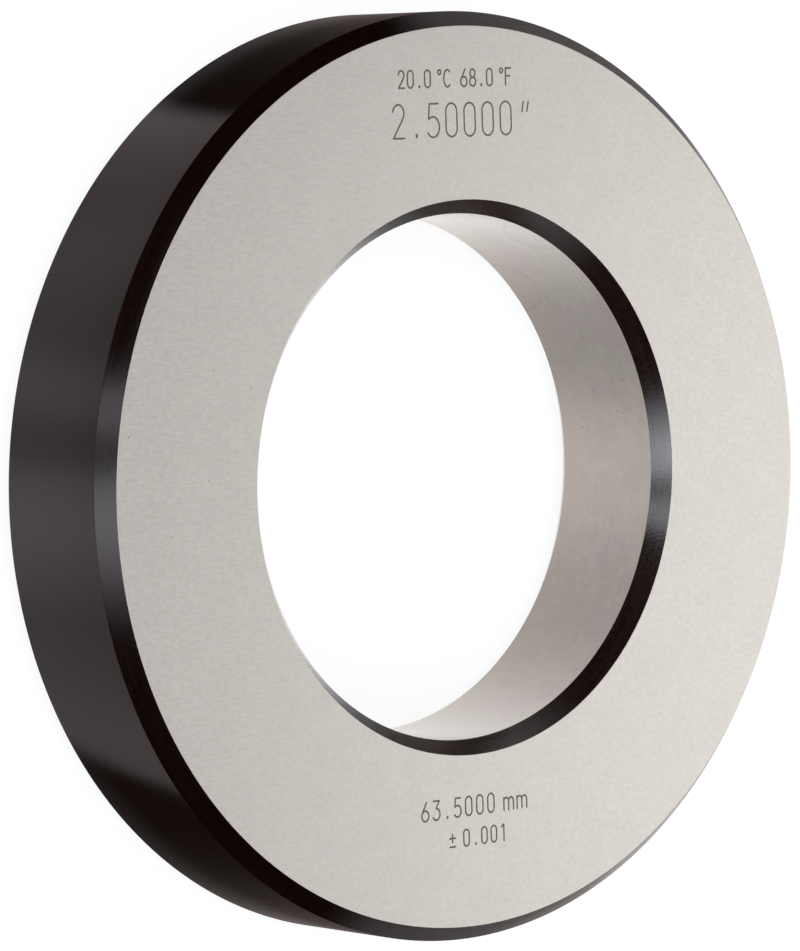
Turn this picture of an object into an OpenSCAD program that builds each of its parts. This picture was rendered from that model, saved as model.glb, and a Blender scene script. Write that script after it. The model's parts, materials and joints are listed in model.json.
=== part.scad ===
// Setting ring gauge: a one-piece hardened steel ring with a lapped bore of known diameter.
// The blank is turned and blackened first, and grinding then bares its two faces and its bore.
// It lies on its back face: the axis is +Z and the origin is the centre of that face.

/* [Ring] */
// Diameter of the blackened rim
outer_d = 112; // [100:1:140]
// Thickness from one ground face to the other
thickness = 20; // [12:0.5:30]

/* [Bore] */
// Diameter of the lapped bore
bore_d = 63.5; // [45:0.5:75]

/* [Chamfers] */
// Width of the rim chamfers, across the face
rim_chamfer_width = 1.8; // [0.5:0.1:3]
// Depth of the rim chamfers, along the axis
rim_chamfer_depth = 2; // [0.5:0.1:4]
// Width of the bore chamfers, across the face
bore_chamfer_width = 1.7; // [0.5:0.1:3]
// Depth of the bore chamfers, along the axis
bore_chamfer_depth = 2.1; // [0.5:0.1:4]

/* [Hidden] */

outer_r = outer_d / 2;
bore_r = bore_d / 2;

// Black oxide left on the rim and on all four chamfers
BLACK_OXIDE = [0.09, 0.085, 0.09];
// Bare steel on the ground faces and the lapped bore
GROUND_STEEL = [0.76, 0.74, 0.71];

// Grinding stock left on each face and in the bore of the blank
stock = 0.5;
$fn = 240;

// Radius that a chamfer's slope reaches in the stock, where it is face_r on the ground face.
// across is the chamfer's width, negative where the slope leans towards the axis.
function stock_r(face_r, across, depth) = face_r + across / depth * stock;

// Outline of the blank's section above the middle plane, from the rim to the bore
function upper_outline() =
    let (face_z = thickness / 2)
    [
        [outer_r, face_z - rim_chamfer_depth],
        [stock_r(outer_r - rim_chamfer_width, -rim_chamfer_width, rim_chamfer_depth), face_z + stock],
        [stock_r(bore_r + bore_chamfer_width, bore_chamfer_width, bore_chamfer_depth), face_z + stock],
        [bore_r, face_z - bore_chamfer_depth],
        [bore_r - stock, face_z - bore_chamfer_depth],
    ];

// The same outline below the middle plane, from the bore back to the rim
function lower_outline(upper) = [for (i = [len(upper) - 1:-1:0]) [upper[i].x, -upper[i].y]];

// The turned blank, blackened all over
module turned_blank() {
    color(BLACK_OXIDE)
    translate([0, 0, thickness / 2])
    rotate_extrude()
    polygon(concat(upper_outline(), lower_outline(upper_outline())));
}

// What the surface grinder takes off one face, with its height at zero
module face_grinding() {
    cylinder(r = outer_r + stock, h = 2 * stock);
}

// What grinding and lapping take out of the bore
module bore_lapping() {
    translate([0, 0, -2 * stock])
    cylinder(r = bore_r, h = thickness + 4 * stock);
}

// The finished ring, which is one solid
module ring() {
    difference() {
        turned_blank();
        color(GROUND_STEEL) {
            translate([0, 0, thickness]) face_grinding();
            mirror([0, 0, 1]) face_grinding();
            bore_lapping();
        }
    }
}

ring();
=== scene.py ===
# Looks of the setting ring gauge: one steel ring, blackened on its rim and chamfers, ground on its
# faces, lapped in its bore and etched with its size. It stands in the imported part's frame: it lies
# on its back face with its axis along +Z, and the figures read upright along +Y. Lengths are in
# metres, or in millimetres where a comment says so.
import json
import math

import bmesh
import bpy
from mathutils import Matrix, Vector
from mathutils.geometry import delaunay_2d_cdt


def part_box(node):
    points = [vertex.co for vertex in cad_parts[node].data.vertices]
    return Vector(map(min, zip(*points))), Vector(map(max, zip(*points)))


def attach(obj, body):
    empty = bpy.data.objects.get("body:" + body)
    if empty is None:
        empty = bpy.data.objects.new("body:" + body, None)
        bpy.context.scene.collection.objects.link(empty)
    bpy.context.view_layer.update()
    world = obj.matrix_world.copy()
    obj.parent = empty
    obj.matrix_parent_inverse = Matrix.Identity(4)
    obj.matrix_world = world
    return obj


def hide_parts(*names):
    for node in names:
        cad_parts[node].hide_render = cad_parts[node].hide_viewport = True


MM = 0.001

# Chamfer widths across the face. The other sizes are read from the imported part.
RIM_CHAMFER_WIDTH = 1.8 * MM
BORE_CHAMFER_WIDTH = 1.7 * MM

# Tiny radii on the ring's edges: turned ones are softest, and ground and lapped ones are crisp
TURNED_EDGE = 0.12 * MM
GROUND_EDGE = 0.05 * MM
LAPPED_EDGE = 0.07 * MM
EDGE_STEPS = 4
# Steps of the mesh on the way round the axis
SEGMENTS = 512
# Points of the section whose heights differ by less than this lie on one level
LEVEL_TOLERANCE = 0.001 * MM
# Points of the mesh that are closer than this are one point
MERGE_DISTANCE = 0.0005 * MM

# Etched figures: text, height, baseline and left end on the front face, all in millimetres, and
# how widely they are spaced
FIGURES = [
    ("20.0 °C  68.0 °F", 2.05, 46.95, -10.0, 1.0),
    ("2.50000\"", 4.0, 41.0, -11.1, 1.04),
    ("63.5000 mm", 2.3, -40.7, -9.5, 1.12),
    ("± 0.001", 2.0, -44.35, -5.2, 1.1),
]
ETCH_WIDTH = 0.23 * MM
ETCH_DEPTH = 0.03 * MM
# Curved strokes: degrees from one point to the next, and the fewest steps in a curve
ARC_STEP = 12
LEAST_ARC_STEPS = 4
# Steps of the half circle at a stroke's end
CAP_STEPS = 6
# What the triangulation is asked for: the triangles inside a loop and no others
TRIANGLES_INSIDE = 1
# Points closer than this are one point to the triangulation, in millimetres
SAME_POINT = 1e-5

# Small dark specks on the front face, as x and y in millimetres
FACE_SPECKS = [(-39.4, 15.1), (-46.9, 4.6), (-40.6, 2.4), (-33.9, 12.7), (-46.3, -3.7), (-52.2, 8.2)]
# Height of the front face above the back one, in millimetres
FACE_HEIGHT = 20.0
# Tiny pits in the bore, as the angle round the axis in degrees and the height in millimetres
BORE_PITS = [(18.2, 14.8), (10.8, 12.6), (8.8, 6.3), (6.7, 5.9), (15.1, 9.1)]
# Radius of a speck or a pit in millimetres
SPOT_RADIUS = 0.16
# Drops of oil that dried in the bore and left faint rings: the angle in degrees, and the height and
# the ring's radius in millimetres
DRIED_DROPS = [(63.0, 15.7, 3.3), (44.0, 3.5, 3.8)]
# The range over which a dried ring strays from a circle, and half the width of its line, in
# millimetres
DROP_WANDER = 4.0
DROP_LINE = 0.4
# How strongly each kind of mark and tint shows, where 1 hides the steel
SPECK_STRENGTH = 0.5
PIT_STRENGTH = 0.7
DROP_STRENGTH = 0.17
FILM_STRENGTH = 0.4
# The strength of the painted warm light from below at the bore's foot
PAINTED_FOOT_LIGHT_STRENGTH = 0.4
# The bore's foot takes a painted warm light from below, a yellower tint, which fades in from the
# first height down to the second, in millimetres
FOOT_TOP = 9.0
FOOT_FULL = 3.0

# The photograph's camera, in its 800 by 951 pixel frame
IMAGE_WIDTH = 800
IMAGE_HEIGHT = 951
FOCAL_PX = 5531.4
RING_CENTRE_PX = (416.86, 474.72)
CAMERA_DISTANCE = 672.6 * MM
CAMERA_TILT = math.radians(41.34)
CAMERA_ROLL = math.radians(3.15)
RING_TURN = math.radians(6.3)
SENSOR_MM = 36
CLIP_NEAR = 0.01
CLIP_FAR = 20

# The studio is drawn by direction, and these bands are limits of a direction's part along one axis.
# A band begins at its first value, is full from the second to the third and ends at the fourth.
WIDE_STRIP_Y = (-0.357, -0.31, 0.01, 0.06)
NARROW_STRIP_Y = (0.145, 0.195, 0.27, 0.355)
STRIPS_Z = (0.38, 0.45, 0.82, 0.90)
FAR_PATCH_Y = (-0.05, 0.2, 0.45, 0.62)
DARK_BAND_Z = (-0.65, -0.42, -0.34, -0.26)
# Levels of the strips and of what the ceiling adds to the room, where white is 1
WIDE_STRIP_HOT = 3.15
WIDE_STRIP_REST = 0.83
NARROW_STRIP_LEVEL = 1.75
CEILING_LEVEL = 0.7
# The share of the light that the dark places take away
CORNER_DARKNESS = 0.985
FAR_PATCH_DARKNESS = 0.09
BAND_DARKNESS = 0.8
# The strips are a little cooler than white
STRIP_TINT = (0.95, 1.01, 1.07)

FLOOR_SIZE = 12
# Radii about the axis on the floor, in millimetres: reflections pass through it inside the first,
# its painted patch of light fades out between the next two, and its dim painted far glow fades in
# between the last two
OPEN_RADIUS = 45
PATCH_FULL = 68
PATCH_END = 78
FAR_GLOW_START = 90
FAR_GLOW_FULL = 150
# The floor's glow as the camera sees it, before the light that falls on it
SEEN_GLOW = 0.9

# Black cards on the floor that only reflections see, which paint dark reflections on the rim: left,
# right, low and high edge and the softness of the left end, in millimetres
DARK_CARDS = [
    ("upper_card", -34, 46, 36, 76, 4.5),
    ("lower_card", -50, 26, -76, -25, 3.5),
]
CARD_HEIGHT = 0.05 * MM
# Sizes of both cards in millimetres: the softness of the right end, how far from the left edge they
# stay blackest, the radius about the axis at which they begin, and the radii between which they
# thicken
CARD_RIGHT_FADE = 12.0
CARD_BLACKEST = 8.0
CARD_START = 50
CARD_THIN = 56
CARD_FULL = 60
# Upright black flags beside the ring that only reflections see, which paint dark reflections on the
# rim's chamfer: left and right end, place along Y and height, in millimetres
STANDING_FLAGS = [
    ("upper_flag", -80, 15, 77, 80),
    ("lower_flag", -80, -4, -77, 80),
]
# How soft a flag's left end, right end and top are, in millimetres
FLAG_LEFT_FADE = 30
FLAG_RIGHT_FADE = 14
FLAG_TOP_FADE = 20

# The one lamp, on the side away from the camera
LAMP_PLACE = Vector((0.32, -0.065, 0.235))
LAMP_TARGET = Vector((0, 0, 0.01))
LAMP_WIDTH = 0.32
LAMP_HEIGHT = 0.29
# Watts for each square metre of a lamp that looks as bright as white
LAMP_WATTS = 4

# Material slots of the ring's mesh
BLACK, GROUND, LAPPED, WORN, ETCHED = range(5)


def ring_sizes():
    """Radii and heights of the ring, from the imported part's box and mounts"""
    dims = {mount["name"]: mount["dims"] for mount in frame["record"]["mounts"]}
    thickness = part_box("ring")[1].z
    return {
        "thickness": thickness,
        "rim_r": dims["outside"]["r_mm"] * MM,
        "bore_r": dims["bore"]["r_mm"] * MM,
        "rim_depth": (thickness - dims["outside"]["length_mm"] * MM) / 2,
        "bore_depth": (thickness - dims["bore"]["length_mm"] * MM) / 2,
    }


def section_corners(sizes):
    """The section's corners from the rim's foot round to the back face, as radius, height, edge
    radius, the edge's material and the material of the side that follows"""
    top = sizes["thickness"]
    rim_r = sizes["rim_r"]
    bore_r = sizes["bore_r"]
    rim_depth = sizes["rim_depth"]
    bore_depth = sizes["bore_depth"]
    face_out = rim_r - RIM_CHAMFER_WIDTH
    face_in = bore_r + BORE_CHAMFER_WIDTH
    return [
        (rim_r, rim_depth, TURNED_EDGE, BLACK, BLACK),
        (rim_r, top - rim_depth, TURNED_EDGE, BLACK, BLACK),
        (face_out, top, GROUND_EDGE, GROUND, GROUND),
        (face_in, top, GROUND_EDGE, GROUND, WORN),
        (bore_r, top - bore_depth, LAPPED_EDGE, LAPPED, LAPPED),
        (bore_r, bore_depth, LAPPED_EDGE, LAPPED, WORN),
        (face_in, 0, GROUND_EDGE, GROUND, GROUND),
        (face_out, 0, GROUND_EDGE, GROUND, BLACK),
    ]


def rounded_corner(before, corner, after, radius):
    """Points of the small arc that rounds a corner of the section"""
    to_before = (before - corner).normalized()
    to_after = (after - corner).normalized()
    half = to_before.angle(to_after) / 2
    middle = (to_before + to_after).normalized()
    centre = corner + middle * (radius / math.sin(half))
    reach = radius / math.tan(half)
    start = corner + to_before * reach - centre
    end = corner + to_after * reach - centre
    sweep = start.angle_signed(end)
    turns = [Matrix.Rotation(-sweep * step / EDGE_STEPS, 2) for step in range(EDGE_STEPS + 1)]
    return [centre + turn @ start for turn in turns]


def section_points(sizes):
    """The rounded section as a list of points, each with the material of the band that follows"""
    corners = section_corners(sizes)
    places = [Vector((corner[0], corner[1])) for corner in corners]
    made = []
    for index, (_, _, edge, edge_material, side_material) in enumerate(corners):
        following = places[(index + 1) % len(places)]
        arc_points = rounded_corner(places[index - 1], places[index], following, edge)
        made += [(point, edge_material) for point in arc_points[:-1]]
        # A point just past the arc keeps its shading off the long flat that follows
        towards_next = (following - places[index]).normalized()
        made.append((arc_points[-1], side_material))
        made.append((arc_points[-1] + towards_next * edge, side_material))
    return made


def step_angles():
    """The angles of the mesh's steps round the axis"""
    return [2 * math.pi * step / SEGMENTS for step in range(SEGMENTS)]


def revolve(mesh, points, top):
    """Turns the section round the Z axis, but leaves the front face open for the etched figures.
    Returns the opening's outer and inner radius."""
    rings = [
        [mesh.verts.new((p.x * math.cos(a), p.x * math.sin(a), p.y)) for a in step_angles()]
        for p, _ in points
    ]
    borders = []
    for index, (point, material) in enumerate(points):
        next_index = (index + 1) % len(points)
        following = points[next_index][0]
        lower = rings[index]
        upper = rings[next_index]
        flat = abs(point.y - following.y) < LEVEL_TOLERANCE
        wide = abs(point.x - following.x) > MM
        if flat and wide and point.y > top / 2:
            borders = [point.x, following.x]
            continue
        for step in range(SEGMENTS):
            after = (step + 1) % SEGMENTS
            face = mesh.faces.new((lower[step], lower[after], upper[after], upper[step]))
            face.material_index = material
            face.smooth = not flat
    return borders


def arc(centre_x, centre_y, radius_x, radius_y, start, end):
    """Points along part of an ellipse, between two angles in degrees"""
    steps = max(LEAST_ARC_STEPS, round(abs(end - start) / ARC_STEP))
    angles = [math.radians(start + (end - start) * step / steps) for step in range(steps + 1)]
    return [(centre_x + radius_x * math.cos(a), centre_y + radius_y * math.sin(a)) for a in angles]


def oval(centre_x, centre_y, radius_x, radius_y):
    """A closed oval as two strokes that meet at its top and foot"""
    left = arc(centre_x, centre_y, radius_x, radius_y, 90, 270)
    right = arc(centre_x, centre_y, radius_x, radius_y, -90, 90)
    return [left, right]


def stadium(centre_x, centre_y, radius_x, radius_y):
    """A tall closed loop with straight sides, as two strokes that meet at its top and foot"""
    end_height = radius_x * 1.15
    high = centre_y + radius_y - end_height
    low = centre_y - radius_y + end_height
    left = arc(centre_x, high, radius_x, end_height, 90, 180)
    left += arc(centre_x, low, radius_x, end_height, 180, 270)
    right = arc(centre_x, low, radius_x, end_height, -90, 0)
    right += arc(centre_x, high, radius_x, end_height, 0, 90)
    return [left, right]


# An engraver's single-line figures: the advance and the strokes, in units of the figure height
GLYPHS = {
    "0": (0.70, stadium(0.25, 0.5, 0.22, 0.5)),
    "1": (0.70, [[(0.12, 0.84), (0.30, 1.0)], [(0.30, 1.0), (0.30, 0.0)]]),
    "2": (0.70, [arc(0.25, 0.74, 0.22, 0.26, 168, -32) + [(0.04, 0.0)], [(0.04, 0.0), (0.48, 0.0)]]),
    "3": (0.70, [[(0.05, 1.0), (0.47, 1.0)], [(0.47, 1.0), (0.23, 0.61)],
                 arc(0.24, 0.305, 0.25, 0.305, 90, -148)]),
    "5": (0.70, [[(0.46, 1.0), (0.11, 1.0)], [(0.11, 1.0), (0.07, 0.56)],
                 arc(0.24, 0.305, 0.25, 0.305, 130, -146)]),
    "6": (0.70, [[(0.37, 1.0), (0.04, 0.42)]] + oval(0.26, 0.28, 0.24, 0.28)),
    "8": (0.70, oval(0.25, 0.76, 0.19, 0.24) + oval(0.25, 0.26, 0.23, 0.26)),
    ".": (0.62, [[(0.21, 0.02), (0.21, 0.10)], [(0.24, 0.02), (0.24, 0.10)]]),
    "\"": (0.50, [[(0.19, 0.68), (0.26, 0.97)], [(0.39, 0.68), (0.46, 0.97)]]),
    "±": (0.70, [[(0.05, 0.58), (0.49, 0.58)], [(0.27, 0.82), (0.27, 0.34)],
                 [(0.05, 0.06), (0.49, 0.06)]]),
    "m": (0.84, [[(0.0, 0.0), (0.0, 0.66)],
                 arc(0.17, 0.47, 0.17, 0.19, 180, 0) + [(0.34, 0.0)],
                 arc(0.51, 0.47, 0.17, 0.19, 180, 0) + [(0.68, 0.0)]]),
    "°": (0.44, oval(0.14, 0.87, 0.12, 0.13)),
    "C": (0.66, [arc(0.32, 0.5, 0.28, 0.5, 50, 310)]),
    "F": (0.60, [[(0.04, 0.0), (0.04, 1.0)], [(0.04, 1.0), (0.46, 1.0)], [(0.04, 0.54), (0.38, 0.54)]]),
    " ": (0.34, []),
}


def figure_strokes():
    """Every stroke of the figures, as points on the front face in metres"""
    strokes = []
    for text, height, baseline, left, spacing in FIGURES:
        cursor = left * MM
        for letter in text:
            advance, lines = GLYPHS[letter]
            for line in lines:
                strokes.append([
                    Vector((cursor + x * height * MM, (baseline + y * height) * MM))
                    for x, y in line
                ])
            cursor += advance * height * spacing * MM
    return strokes


def cap(centre, start, half):
    """The points of a half circle between a stroke's two sides, without its ends"""
    first = start - centre
    angle = math.atan2(first.y, first.x)
    turns = [angle + math.pi * step / CAP_STEPS for step in range(1, CAP_STEPS)]
    return [centre + Vector((math.cos(turn), math.sin(turn))) * half for turn in turns]


def stroke_outline(line, width):
    """The outline of a round-ended stroke along a line of points, counter-clockwise"""
    half = width / 2
    left = []
    right = []
    for index, point in enumerate(line):
        before = line[max(index - 1, 0)]
        after = line[min(index + 1, len(line) - 1)]
        along = (after - before).normalized()
        across = Vector((-along.y, along.x)) * half
        left.append(point + across)
        right.append(point - across)
    start_cap = cap(line[0], left[0], half)
    end_cap = cap(line[-1], right[-1], half)
    return right + end_cap + left[::-1] + start_cap


def front_face(mesh, borders, top):
    """The ground front face, with the figures sunk into it as shallow flat-bottomed grooves"""
    loops = [[Vector((r * math.cos(a), r * math.sin(a))) for a in step_angles()] for r in borders]
    loops += [stroke_outline(line, ETCH_WIDTH) for line in figure_strokes()]
    # The triangulation works in millimetres, where single precision is ample
    points = [point / MM for loop in loops for point in loop]
    polygons = []
    used = 0
    for loop in loops:
        polygons.append(list(range(used, used + len(loop))))
        used += len(loop)
    result = delaunay_2d_cdt(points, [], polygons, TRIANGLES_INSIDE, SAME_POINT)
    flat, _, triangles, _, _, inside = result
    upper = [mesh.verts.new((p.x * MM, p.y * MM, top)) for p in flat]
    lower = {}
    groove_edges = set()
    # Loop 0 is the face's outer border, loop 1 goes round the bore, and the others are strokes
    for triangle, owners in zip(triangles, inside):
        if 1 in owners:
            continue
        etched = any(owner > 1 for owner in owners)
        if etched:
            for index in triangle:
                if index not in lower:
                    point = flat[index]
                    lower[index] = mesh.verts.new((point.x * MM, point.y * MM, top - ETCH_DEPTH))
            groove_edges.update(zip(triangle, triangle[1:] + triangle[:1]))
        corners = [lower[index] if etched else upper[index] for index in triangle]
        face = mesh.faces.new(corners)
        face.material_index = ETCHED if etched else GROUND
    # An edge that two triangles of a groove share runs both ways, and only the others get a wall
    for start, end in groove_edges:
        if (end, start) not in groove_edges:
            wall = mesh.faces.new((upper[start], upper[end], lower[end], lower[start]))
            wall.material_index = ETCHED


def build_ring():
    """The whole ring as one closed mesh"""
    sizes = ring_sizes()
    mesh = bmesh.new()
    borders = revolve(mesh, section_points(sizes), sizes["thickness"])
    front_face(mesh, borders, sizes["thickness"])
    bmesh.ops.remove_doubles(mesh, verts=mesh.verts, dist=MERGE_DISTANCE)
    loose = [vert for vert in mesh.verts if not vert.link_faces]
    bmesh.ops.delete(mesh, geom=loose, context="VERTS")
    data = bpy.data.meshes.new("setting_ring")
    mesh.to_mesh(data)
    mesh.free()
    ring = bpy.data.objects.new("setting_ring", data)
    bpy.context.scene.collection.objects.link(ring)
    # In the order of the material slots
    for material in (black_oxide(), ground_steel(), lapped_steel(), worn_oxide(), etched_mark()):
        data.materials.append(material)
    return ring


class Graph:
    """Adds and links shader nodes in one material or world"""

    def __init__(self, owner):
        owner.use_nodes = True
        self.tree = owner.node_tree
        self.tree.nodes.clear()

    def node(self, kind, inputs=None, **settings):
        """A new node with its settings, and with each input either linked or set"""
        made = self.tree.nodes.new("ShaderNode" + kind)
        for name, value in settings.items():
            setattr(made, name, value)
        for key, value in (inputs or {}).items():
            if isinstance(value, bpy.types.NodeSocket):
                self.tree.links.new(value, made.inputs[key])
            else:
                made.inputs[key].default_value = value
        return made

    def math(self, operation, first, second=0.0):
        return self.node("Math", {0: first, 1: second}, operation=operation).outputs[0]

    def plus(self, first, second):
        return self.math("ADD", first, second)

    def minus(self, first, second):
        return self.math("SUBTRACT", first, second)

    def absolute(self, value):
        return self.math("ABSOLUTE", value)

    def times(self, first, *others):
        """The product of several values"""
        product = first
        for other in others:
            product = self.math("MULTIPLY", product, other)
        return product

    def weighted(self, *parts):
        """The sum of values, each times its weight"""
        total = 0.0
        for value, weight in parts:
            total = self.plus(self.times(value, weight), total)
        return total

    def fade(self, value, start, end, low=0.0, high=1.0):
        """A smooth step from low, where value is at start, to high, where it is at end"""
        inputs = {"Value": value, "From Min": start, "From Max": end, "To Min": low, "To Max": high}
        made = self.node("MapRange", inputs, interpolation_type="SMOOTHSTEP")
        return made.outputs["Result"]

    def within(self, value, begin, full_from, full_to, end):
        """1 where a value is in the full part of a band, with a fade to 0 at either limit"""
        return self.times(self.fade(value, begin, full_from), self.fade(value, end, full_to))

    def vector(self, operation, first, second=None):
        inputs = {0: first} if second is None else {0: first, 1: second}
        return self.node("VectorMath", inputs, operation=operation)

    def scaled(self, vector, scale):
        return self.vector("MULTIPLY", vector, scale).outputs["Vector"]

    def unit(self, vector):
        """A vector's direction alone"""
        return self.vector("NORMALIZE", vector).outputs["Vector"]

    def length(self, vector):
        return self.vector("LENGTH", vector).outputs["Value"]

    def distance(self, vector, centre):
        return self.vector("DISTANCE", vector, centre).outputs["Value"]

    def parts(self, vector):
        """A vector's parts along X, Y and Z"""
        return self.node("SeparateXYZ", {0: vector}).outputs

    def noise(self, vector, scale, detail=2.0, roughness=0.5):
        inputs = {"Vector": vector, "Scale": scale, "Detail": detail, "Roughness": roughness}
        return self.node("TexNoise", inputs).outputs["Fac"]

    def between(self, factor, first, second):
        """A value between two others"""
        return self.node("Mix", {0: factor, 2: first, 3: second}).outputs[0]

    def blend(self, factor, first, second):
        """A colour between two others"""
        return self.node("Mix", {0: factor, 6: first, 7: second}, data_type="RGBA").outputs[2]

    def bump(self, height, depth):
        """A normal roughened by a height that spans 0 to 1 over depth metres"""
        made = self.node("Bump", {"Strength": 1.0, "Distance": depth, "Height": height})
        return made.outputs["Normal"]

    def spots(self, vector, centres, radius):
        """1 within small spots about some points and 0 elsewhere"""
        nearest = self.distance(vector, centres[0])
        for centre in centres[1:]:
            nearest = self.math("MINIMUM", nearest, self.distance(vector, centre))
        return self.fade(nearest, radius, 0.4 * radius)

    def mixed(self, factor, first, second):
        """The first shader where the factor is 0 and the second where it is 1"""
        shaders = {0: factor, 1: first.outputs[0], 2: second.outputs[0]}
        return self.node("MixShader", shaders)

    def finish(self, shader, output="OutputMaterial"):
        self.node(output, {"Surface": shader.outputs[0]})


def new_material(name):
    """A new material and the graph of its nodes"""
    material = bpy.data.materials.new(name)
    return material, Graph(material)


def colour(red, green, blue):
    return (red, green, blue, 1.0)


def part_coordinates(graph):
    """Position on the object in millimetres"""
    place = graph.node("TexCoord").outputs["Object"]
    return graph.scaled(place, (1 / MM, 1 / MM, 1 / MM))


def flat_coordinates(graph):
    """Position on the object in millimetres, without its height"""
    return graph.scaled(part_coordinates(graph), (1.0, 1.0, 0.0))


def turned_coordinates(graph, along, across):
    """Coordinates in which a noise runs round the axis: along sets how often it changes on the way
    round, and across how often it changes for each millimetre of height"""
    direction = graph.unit(flat_coordinates(graph))
    round_axis = graph.scaled(direction, (along, along, 0.0))
    height = graph.scaled(part_coordinates(graph), (0.0, 0.0, across))
    return graph.vector("ADD", round_axis, height).outputs["Vector"]


def oxide_material(name, base, specular, tint, depth, roughness):
    """Black oxide on turned steel: a dark satin skin with fine lathe lines, grain and faint smears"""
    material, graph = new_material(name)
    place = part_coordinates(graph)
    turned = turned_coordinates(graph, along=3.0, across=3.2)
    lines = graph.noise(turned, scale=1.0, detail=3.0, roughness=0.7)
    smears = graph.noise(place, scale=1.3, detail=4.0, roughness=0.75)
    grain = graph.noise(place, scale=4.0)
    shade = graph.weighted((lines, 0.5), (smears, 0.5))
    rough = graph.weighted((lines, 0.4), (smears, 0.3), (grain, 0.3))
    relief = graph.weighted((lines, 0.6), (grain, 0.4))
    lighter = colour(*[2.0 * channel for channel in base])
    shader = graph.node("BsdfPrincipled", {
        "Base Color": graph.blend(graph.fade(shade, 0.38, 0.62), colour(*base), lighter),
        "Roughness": graph.fade(rough, 0.35, 0.65, low=roughness[0], high=roughness[1]),
        "Specular IOR Level": specular,
        "Specular Tint": colour(*tint),
        "Normal": graph.bump(relief, depth),
    })
    graph.finish(shader)
    return material


def black_oxide():
    """The untouched skin of the rim and its chamfers"""
    return oxide_material(
        "black_oxide",
        base=(0.0045, 0.0015, 0.0012),
        specular=0.37,
        tint=(1.0, 0.92, 0.94),
        depth=0.012 * MM,
        roughness=(0.12, 0.18),
    )


def worn_oxide():
    """Thinner oxide on the bore's chamfers, where the gauges rub, so more steel shines through"""
    return oxide_material(
        "worn_oxide",
        base=(0.0082, 0.0035, 0.0028),
        specular=0.97,
        tint=(1.0, 0.97, 0.98),
        depth=0.019 * MM,
        roughness=(0.14, 0.22),
    )


def ground_steel():
    """Bare steel off the surface grinder: short fine scratches across the face, faint blotches
    and a few specks"""
    material, graph = new_material("ground_steel")
    place = part_coordinates(graph)
    # Squeezed along Y, the noise turns into scratches along X
    scratches = graph.noise(graph.scaled(place, (0.7, 3.6, 1.0)), scale=1.0, roughness=0.55)
    blotches = graph.noise(place, scale=1.5, detail=3.0, roughness=0.6)
    clouds = graph.noise(place, scale=0.28)
    texture = graph.weighted((scratches, 0.55), (blotches, 0.35), (clouds, 0.10))
    darker = colour(0.54, 0.513, 0.481)
    brighter = colour(0.66, 0.625, 0.587)
    steel = graph.blend(graph.fade(texture, 0.3, 0.7), darker, brighter)
    specks = graph.spots(place, [(x, y, FACE_HEIGHT) for x, y in FACE_SPECKS], SPOT_RADIUS)
    steel = graph.blend(graph.times(specks, SPECK_STRENGTH), steel, colour(0.12, 0.09, 0.07))
    shader = graph.node("BsdfPrincipled", {
        "Base Color": steel,
        "Metallic": 1.0,
        "Roughness": graph.fade(scratches, 0.3, 0.7, low=0.38, high=0.48),
        "Normal": graph.bump(scratches, 0.004 * MM),
    })
    graph.finish(shader)
    return material


def on_bore(angle, height):
    """A point on the bore in millimetres, from its angle in degrees and its height"""
    turn = math.radians(angle)
    radius = ring_sizes()["bore_r"] / MM
    return (radius * math.cos(turn), radius * math.sin(turn), height)


def dried_drops(graph, place):
    """How strongly the rings of dried drops show in the bore"""
    wander = graph.times(graph.noise(place, scale=0.3, detail=3.0), DROP_WANDER)
    drops = 0.0
    for angle, height, radius in DRIED_DROPS:
        reach = graph.plus(graph.distance(place, on_bore(angle, height)), wander)
        off_ring = graph.absolute(graph.minus(reach, radius + DROP_WANDER / 2))
        drops = graph.math("MAXIMUM", graph.fade(off_ring, DROP_LINE, 0.0, high=DROP_STRENGTH), drops)
    return drops


def lapped_steel():
    """The lapped bore: bare steel with soft lines round it, mottling, a dried film, a few pits and a
    painted warm light from below at its foot
    """
    material, graph = new_material("lapped_steel")
    place = part_coordinates(graph)
    turned = turned_coordinates(graph, along=2.0, across=2.5)
    lines = graph.noise(turned, scale=1.0, detail=3.0, roughness=0.6)
    mottling = graph.noise(place, scale=0.45, detail=5.0, roughness=0.65)
    grain = graph.noise(place, scale=3.0)
    texture = graph.weighted((lines, 0.25), (mottling, 0.45), (grain, 0.30))
    darker = colour(0.380, 0.342, 0.315)
    brighter = colour(0.480, 0.436, 0.405)
    steel = graph.blend(graph.fade(texture, 0.3, 0.7), darker, brighter)
    # The wiped film tints broad patches, some of them redder and some darker and yellower
    film = graph.noise(place, scale=0.13, detail=3.0)
    redder = graph.fade(film, 0.5, 0.62, high=FILM_STRENGTH)
    steel = graph.blend(redder, steel, colour(0.410, 0.358, 0.350))
    yellower = graph.fade(film, 0.5, 0.38, high=FILM_STRENGTH)
    steel = graph.blend(yellower, steel, colour(0.425, 0.385, 0.345))
    # Painted warm light from below: the bore turns yellower towards its foot
    foot = graph.fade(graph.parts(place)[2], FOOT_TOP, FOOT_FULL, high=PAINTED_FOOT_LIGHT_STRENGTH)
    steel = graph.blend(foot, steel, colour(0.462, 0.410, 0.345))
    pits = graph.spots(place, [on_bore(angle, height) for angle, height in BORE_PITS], SPOT_RADIUS)
    marks = graph.math("MAXIMUM", dried_drops(graph, place), graph.times(pits, PIT_STRENGTH))
    steel = graph.blend(marks, steel, colour(0.14, 0.12, 0.12))
    shader = graph.node("BsdfPrincipled", {
        "Base Color": steel,
        "Metallic": 1.0,
        "Roughness": graph.fade(texture, 0.3, 0.7, low=0.20, high=0.28),
        "Normal": graph.bump(lines, 0.002 * MM),
    })
    graph.finish(shader)
    return material


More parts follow.
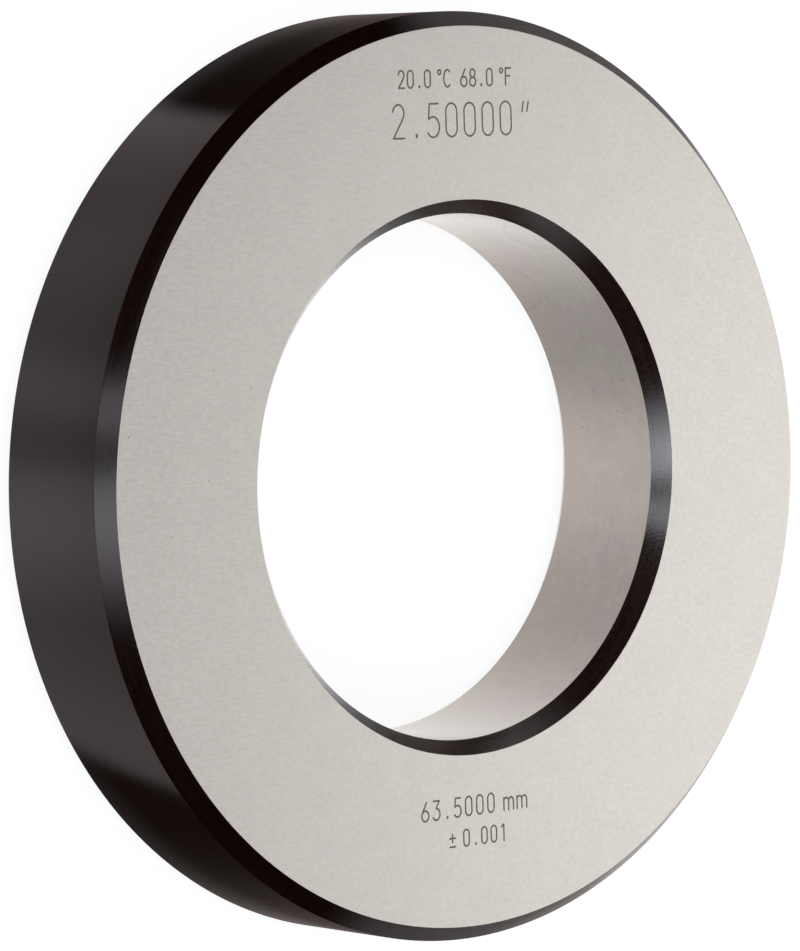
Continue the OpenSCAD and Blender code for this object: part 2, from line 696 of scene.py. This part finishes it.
def etched_mark():
    """Brownish grey oxide that the etching leaves in the figures"""
    material, graph = new_material("etched_mark")
    grain = graph.noise(part_coordinates(graph), scale=5.0)
    darker = colour(0.10, 0.07, 0.055)
    lighter = colour(0.19, 0.14, 0.115)
    tone = graph.blend(graph.fade(grain, 0.3, 0.7), darker, lighter)
    graph.finish(graph.node("BsdfPrincipled", {"Base Color": tone, "Roughness": 0.6}))
    return material


def add_camera():
    """The photograph's camera, worked out from its distance, tilt and roll about the ring"""
    centre = Vector((0, 0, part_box("ring")[1].z / 2))
    turn = Matrix.Rotation(-RING_TURN, 3, "Z")
    back = turn @ Vector((-math.sin(CAMERA_TILT), 0, math.cos(CAMERA_TILT)))
    level_right = (-back).cross(turn @ Vector((0, 1, 0))).normalized()
    level_up = level_right.cross(-back)
    rolled_right = level_right * math.cos(CAMERA_ROLL) + level_up * math.sin(CAMERA_ROLL)
    rolled_up = level_up * math.cos(CAMERA_ROLL) - level_right * math.sin(CAMERA_ROLL)
    place = centre + back * CAMERA_DISTANCE
    # The ring's centre is a little off the middle of the picture, so the camera aims beside it
    off_x = (RING_CENTRE_PX[0] - IMAGE_WIDTH / 2) / FOCAL_PX
    off_y = (RING_CENTRE_PX[1] - IMAGE_HEIGHT / 2) / FOCAL_PX
    aim = centre + (rolled_up * off_y - rolled_right * off_x) * CAMERA_DISTANCE
    away = (place - aim).normalized()
    right = rolled_up.cross(away).normalized()
    up = away.cross(right)
    data = bpy.data.cameras.new("camera")
    data.sensor_width = SENSOR_MM
    data.lens = FOCAL_PX / max(IMAGE_WIDTH, IMAGE_HEIGHT) * SENSOR_MM
    data.clip_start = CLIP_NEAR
    data.clip_end = CLIP_FAR
    camera = bpy.data.objects.new("camera", data)
    camera.matrix_world = Matrix.Translation(place) @ Matrix((right, up, away)).transposed().to_4x4()
    bpy.context.scene.collection.objects.link(camera)
    bpy.context.scene.camera = camera


def add_lamp():
    """A rectangular lamp that looks as bright as white, and that the camera doesn't see"""
    data = bpy.data.lights.new("far_side_lamp", "AREA")
    data.shape = "RECTANGLE"
    data.size = LAMP_WIDTH
    data.size_y = LAMP_HEIGHT
    data.energy = LAMP_WATTS * LAMP_WIDTH * LAMP_HEIGHT
    lamp = bpy.data.objects.new("far_side_lamp", data)
    lamp.location = LAMP_PLACE
    lamp.rotation_mode = "QUATERNION"
    lamp.rotation_quaternion = (LAMP_TARGET - LAMP_PLACE).to_track_quat("-Z", "Y")
    lamp.visible_camera = False
    bpy.context.scene.collection.objects.link(lamp)


def room_light(graph, x, y, z):
    """The room above the floor: brighter towards the camera, overhead and near the floor, and dark
    in its low corners to both sides of the camera"""
    sideways = graph.absolute(graph.plus(y, 0.04))
    rising = graph.plus(z, graph.times(x, 0.22))
    leaning = graph.minus(x, graph.times(y, 0.1))
    corner = graph.times(
        graph.fade(sideways, 0.33, 0.42),
        graph.fade(rising, 0.56, 0.43),
        graph.fade(leaning, 0.45, -0.10),
    )
    walls = graph.times(
        graph.minus(1.0, graph.times(corner, CORNER_DARKNESS)),
        graph.fade(x, -0.4, 0.25, low=0.80, high=0.36),
        graph.fade(z, 0.4, 0.15, low=1.0, high=1.4),
    )
    ceiling = graph.times(graph.fade(x, 0.35, -0.25), graph.fade(z, 0.66, 0.82), CEILING_LEVEL)
    return graph.plus(walls, ceiling)


def strip_lights(graph, y):
    """Two upright strips of light, one on either side of the camera: a wide one that is hot in the
    middle, and a narrow one"""
    off_middle = graph.absolute(graph.plus(y, 0.1))
    hot = graph.fade(off_middle, 0.02, 0.24, low=WIDE_STRIP_HOT, high=WIDE_STRIP_REST)
    wide = graph.times(graph.within(y, *WIDE_STRIP_Y), hot)
    narrow = graph.times(graph.within(y, *NARROW_STRIP_Y), NARROW_STRIP_LEVEL)
    return graph.plus(wide, narrow)


def light_below(graph, x, y, z):
    """The white below, which the bore mirrors through the floor. It is brightest just under the
    horizon and away from the camera, with a dark band a little lower down, and it is dimmer to both
    sides of the camera and in a patch far off to one side."""
    beside = graph.times(
        graph.fade(x, 0.35, -0.2),
        graph.fade(graph.absolute(y), 0.1, 0.55),
        graph.fade(y, -0.2, 0.2, low=0.36, high=0.25),
    )
    patch = graph.times(
        graph.within(y, *FAR_PATCH_Y),
        graph.fade(x, 0.36, 0.5, high=FAR_PATCH_DARKNESS),
    )
    band = graph.times(graph.within(z, *DARK_BAND_Z), BAND_DARKNESS)
    return graph.times(
        graph.minus(graph.fade(x, 0.2, 0.6, low=1.03, high=1.35), beside),
        graph.minus(1.0, patch),
        graph.minus(1.0, band),
        graph.fade(z, -0.26, -0.15, low=1.0, high=2.4),
    )


def studio_world():
    """White for the camera, and for all else a studio that is drawn by direction, with the camera
    towards -X: a room with two strips of light, and white below it"""
    world = bpy.data.worlds.new("studio")
    bpy.context.scene.world = world
    graph = Graph(world)
    x, y, z = graph.parts(graph.node("TexCoord").outputs["Generated"])
    strips = graph.times(graph.fade(x, -0.2, -0.45), graph.within(z, *STRIPS_Z))
    above = graph.plus(room_light(graph, x, y, z), graph.times(strips, strip_lights(graph, y)))
    light = graph.between(graph.fade(z, 0.02, -0.06), above, light_below(graph, x, y, z))
    tint = graph.blend(strips, colour(1, 1, 1), colour(*STRIP_TINT))
    studio = graph.node("Background", {"Color": tint, "Strength": light})
    white = graph.node("Background", {"Color": colour(1, 1, 1), "Strength": 1.0})
    seen = graph.node("LightPath").outputs["Is Camera Ray"]
    graph.finish(graph.mixed(seen, studio, white), "OutputWorld")


def mirrored_glow(graph, place, length):
    """The floor's painted glow as reflections see it: a painted patch of light about the ring, which is
    brighter towards +Y and -Y and reaches further towards -Y, and a dim painted glow far out"""
    sideways = graph.absolute(graph.parts(graph.unit(place))[1])
    front = graph.math("MINIMUM", graph.parts(place)[1], 0.0)
    reach = graph.plus(length, graph.times(front, 0.4))
    patch = graph.times(
        graph.fade(sideways, 0.35, 0.9, low=0.175, high=0.405),
        graph.fade(reach, PATCH_END, PATCH_FULL),
    )
    return graph.plus(patch, graph.fade(length, FAR_GLOW_START, FAR_GLOW_FULL, high=0.16))


def add_floor():
    """A glossy white floor that keeps a faint shadow of the ring, and glows a little in reflections
    so that the steel shows the white surroundings. Inside the ring reflections pass through it to
    the white below, which keeps the bore as bright as the photograph's."""
    bpy.ops.mesh.primitive_plane_add(size=FLOOR_SIZE)
    floor = bpy.context.active_object
    floor.name = "floor"
    material, graph = new_material("white_floor")
    path = graph.node("LightPath").outputs
    seen = path["Is Camera Ray"]
    mirrored = path["Is Glossy Ray"]
    place = flat_coordinates(graph)
    length = graph.length(place)
    shader = graph.node("BsdfPrincipled", {
        "Base Color": graph.blend(seen, colour(0.42, 0.385, 0.37), colour(0.16, 0.16, 0.16)),
        "Roughness": 0.12,
        "Specular IOR Level": graph.fade(seen, 0.0, 1.0, low=1.0, high=0.0),
        "Specular Tint": colour(1.0, 0.92, 0.90),
        "IOR": 2.0,
        # For reflections the floor glows warm with painted light, a painted patch of light about the
        # ring
        "Emission Color": graph.blend(seen, colour(1.0, 0.905, 0.865), colour(1, 1, 1)),
        "Emission Strength": graph.plus(
            graph.times(seen, SEEN_GLOW),
            graph.times(mirrored, mirrored_glow(graph, place, length)),
        ),
    })
    hole = graph.times(mirrored, graph.math("LESS_THAN", length, OPEN_RADIUS))
    graph.finish(graph.mixed(hole, shader, graph.node("BsdfTransparent")))
    floor.data.materials.append(material)


def add_black_sheet(name, corners, material):
    """A flat sheet between four corners that only reflections see"""
    data = bpy.data.meshes.new(name)
    data.from_pydata(corners, [], [(0, 1, 2, 3)])
    data.materials.append(material)
    sheet = bpy.data.objects.new(name, data)
    bpy.context.scene.collection.objects.link(sheet)
    sheet.visible_camera = False
    sheet.visible_diffuse = False
    sheet.visible_shadow = False


def dark_card(name, left, right, low, high, left_fade):
    """A black card on the floor beside the rim that only reflections see, as a studio's black
    flags are used: it paints a dark reflection on the rim. Both ends are soft, and it glows faintly,
    paler towards its right, and it is thinner at the rim."""
    material, graph = new_material(name)
    place = flat_coordinates(graph)
    across = graph.parts(place)[0]
    length = graph.length(place)
    # Painted reflection: the card glows faintly, from near black to paler towards its right
    level = graph.fade(across, left + CARD_BLACKEST, right, low=0.03, high=0.28)
    black = graph.node("Emission", {"Color": colour(1, 0.8, 0.75), "Strength": level})
    cover = graph.times(
        graph.within(across, left, left + left_fade, right - CARD_RIGHT_FADE, right),
        graph.fade(length, CARD_THIN, CARD_FULL, low=0.8),
        graph.math("GREATER_THAN", length, CARD_START),
    )
    graph.finish(graph.mixed(cover, graph.node("BsdfTransparent"), black))
    corners = [(left, low), (right, low), (right, high), (left, high)]
    add_black_sheet(name, [(x * MM, y * MM, CARD_HEIGHT) for x, y in corners], material)


def standing_flag(name, left, right, distance, height):
    """An upright black flag beside the ring that only reflections see, which keeps the far light out of
    the rim chamfer's reflection: a painted dark reflection, with no shadow cast. Its ends and its top
    are soft."""
    material, graph = new_material(name)
    x, _, z = graph.parts(part_coordinates(graph))
    cover = graph.times(
        graph.within(x, left, left + FLAG_LEFT_FADE, right - FLAG_RIGHT_FADE, right),
        graph.fade(z, height, height - FLAG_TOP_FADE),
    )
    # Painted dark reflection: a black sheet that casts no shadow and that only reflections see
    black = graph.node("BsdfDiffuse", {"Color": colour(0.004, 0.002, 0.002)})
    graph.finish(graph.mixed(cover, graph.node("BsdfTransparent"), black))
    corners = [(left, 0), (right, 0), (right, height), (left, height)]
    add_black_sheet(name, [(x * MM, distance * MM, z * MM) for x, z in corners], material)


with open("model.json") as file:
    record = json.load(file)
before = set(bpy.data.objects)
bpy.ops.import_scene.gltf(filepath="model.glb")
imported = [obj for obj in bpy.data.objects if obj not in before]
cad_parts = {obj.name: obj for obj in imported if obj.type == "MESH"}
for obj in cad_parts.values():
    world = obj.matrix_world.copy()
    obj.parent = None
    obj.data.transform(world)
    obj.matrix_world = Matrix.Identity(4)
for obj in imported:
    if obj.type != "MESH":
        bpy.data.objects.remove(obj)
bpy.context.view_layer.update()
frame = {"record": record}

add_camera()
ring = build_ring()
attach(ring, "root")
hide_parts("ring")

studio_world()
add_floor()
for card in DARK_CARDS:
    dark_card(*card)
for flag in STANDING_FLAGS:
    standing_flag(*flag)
add_lamp()
bpy.context.scene.view_settings.view_transform = "Standard"
